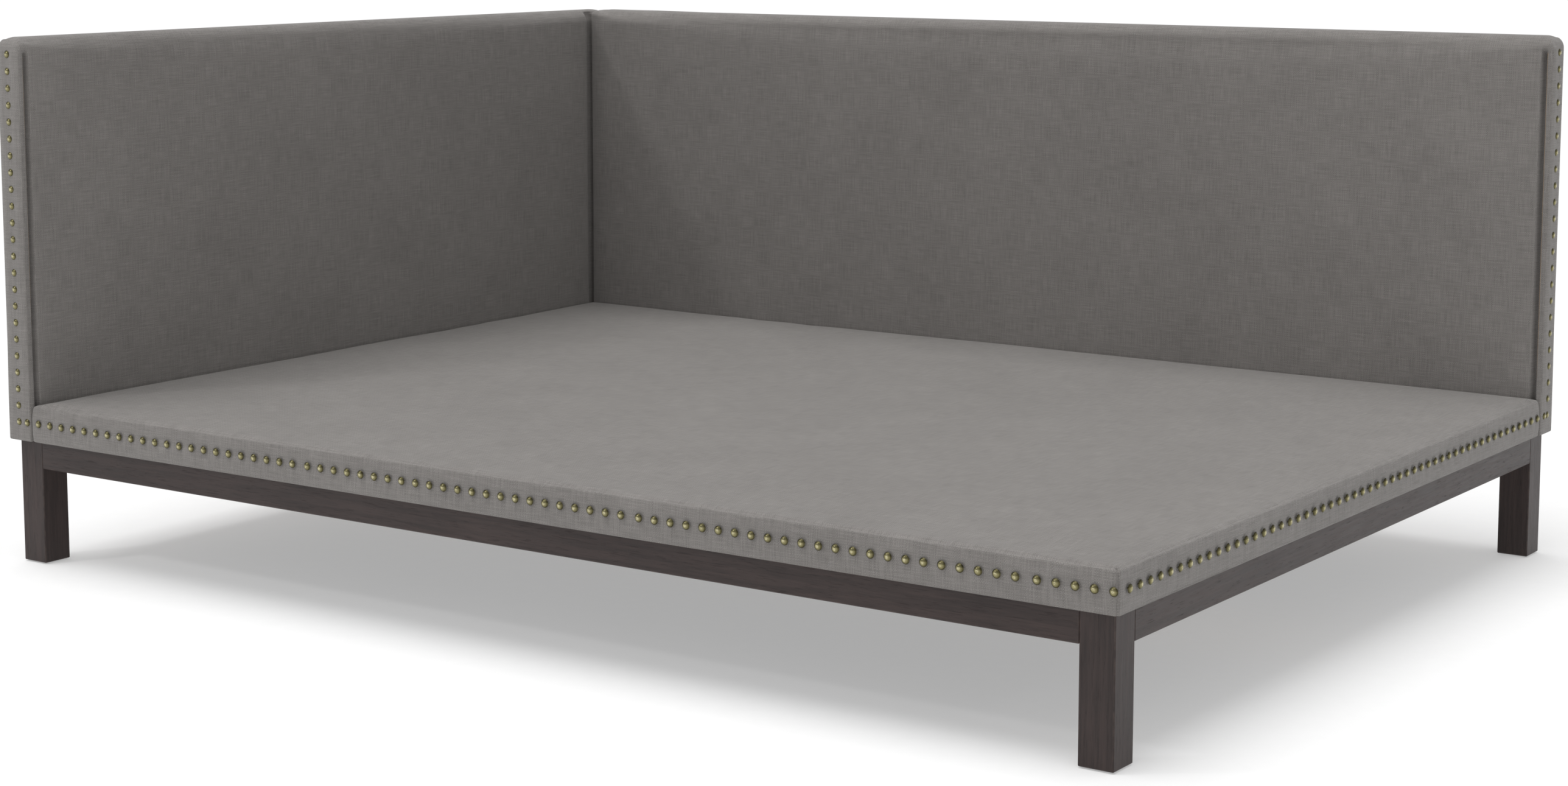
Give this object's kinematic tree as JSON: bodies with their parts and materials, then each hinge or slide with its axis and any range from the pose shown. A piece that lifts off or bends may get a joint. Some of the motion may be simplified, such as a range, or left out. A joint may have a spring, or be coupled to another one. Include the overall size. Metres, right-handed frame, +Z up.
{
  "type": "upholstered corner daybed",
  "caption": "Low upholstered daybed with a padded flat deck, a side panel and a back panel meeting at one corner, a nailhead trim and dark square timber legs.",
  "frame": {"origin": "on the floor, under the centre of the outer box", "axes": "+X along the length, from the side panel to the open end; +Y from the open front to the back panel; +Z up"},
  "size_m": [1.964, 1.449, 0.825],
  "materials": {
    "upholstery_cloth": "matte",
    "lining_cloth": "matte",
    "foam": "matte",
    "stained_wood": "satin",
    "frame_timber": "matte",
    "plywood": "matte",
    "hardboard": "matte",
    "antique_brass": "satin",
    "black_steel": "satin",
    "zinc_steel": "satin",
    "black_plastic": "matte"
  },
  "bodies": {
    "bed_frame": {"back_apron": "stained_wood", "back_ledger": "frame_timber", "back_left_brace": "frame_timber", "back_left_leg": "stained_wood", "back_panel_board": "hardboard", "back_panel_bottom_rail": "frame_timber", "back_panel_cover": "upholstery_cloth", "back_panel_facing": "plywood", "back_panel_foam": "foam", "back_panel_nails": "antique_brass", "back_panel_stiles": "frame_timber", "back_panel_top_rail": "frame_timber", "back_right_brace": "frame_timber", "back_right_leg": "stained_wood", "base_screws": "zinc_steel", "beam_screws": "zinc_steel", "beam_shoes": "black_steel", "centre_beam": "frame_timber", "centre_post_left": "black_steel", "centre_post_right": "black_steel", "deck_board_left": "plywood", "deck_board_right": "plywood", "deck_cover": "upholstery_cloth", "deck_dust_cover": "lining_cloth", "deck_foam": "foam", "deck_joist_centre": "frame_timber", "deck_joist_left": "frame_timber", "deck_joist_right": "frame_timber", "deck_nails": "antique_brass", "deck_rail_back": "frame_timber", "deck_rail_front": "frame_timber", "deck_rail_left": "frame_timber", "deck_rail_right": "frame_timber", "floor_glides": "black_plastic", "front_apron": "stained_wood", "front_left_brace": "frame_timber", "front_left_leg": "stained_wood", "front_right_brace": "frame_timber", "front_right_leg": "stained_wood", "left_apron": "stained_wood", "left_ledger": "frame_timber", "left_panel_board": "hardboard", "left_panel_bottom_rail": "frame_timber", "left_panel_cover": "upholstery_cloth", "left_panel_facing": "plywood", "left_panel_foam": "foam", "left_panel_nails": "antique_brass", "left_panel_stiles": "frame_timber", "left_panel_top_rail": "frame_timber", "leg_bolt_nuts": "zinc_steel", "leg_bolts": "zinc_steel", "locating_dowels": "frame_timber", "panel_bolts": "zinc_steel", "panel_tee_nuts": "zinc_steel", "post_inserts": "black_plastic", "right_apron": "stained_wood"},
    "left_foot": {"foot_pad_left": "black_plastic", "foot_stem_left": "zinc_steel"},
    "right_foot": {"foot_pad_right": "black_plastic", "foot_stem_right": "zinc_steel"}
  },
  "joints": [
    {"name": "left_foot_travel", "type": "slide", "parent": "bed_frame", "child": "left_foot", "axis": [0, 0, 1], "range_m": [0, 0.012]},
    {"name": "right_foot_travel", "type": "slide", "parent": "bed_frame", "child": "right_foot", "axis": [0, 0, 1], "range_m": [0, 0.012]}
  ]
}
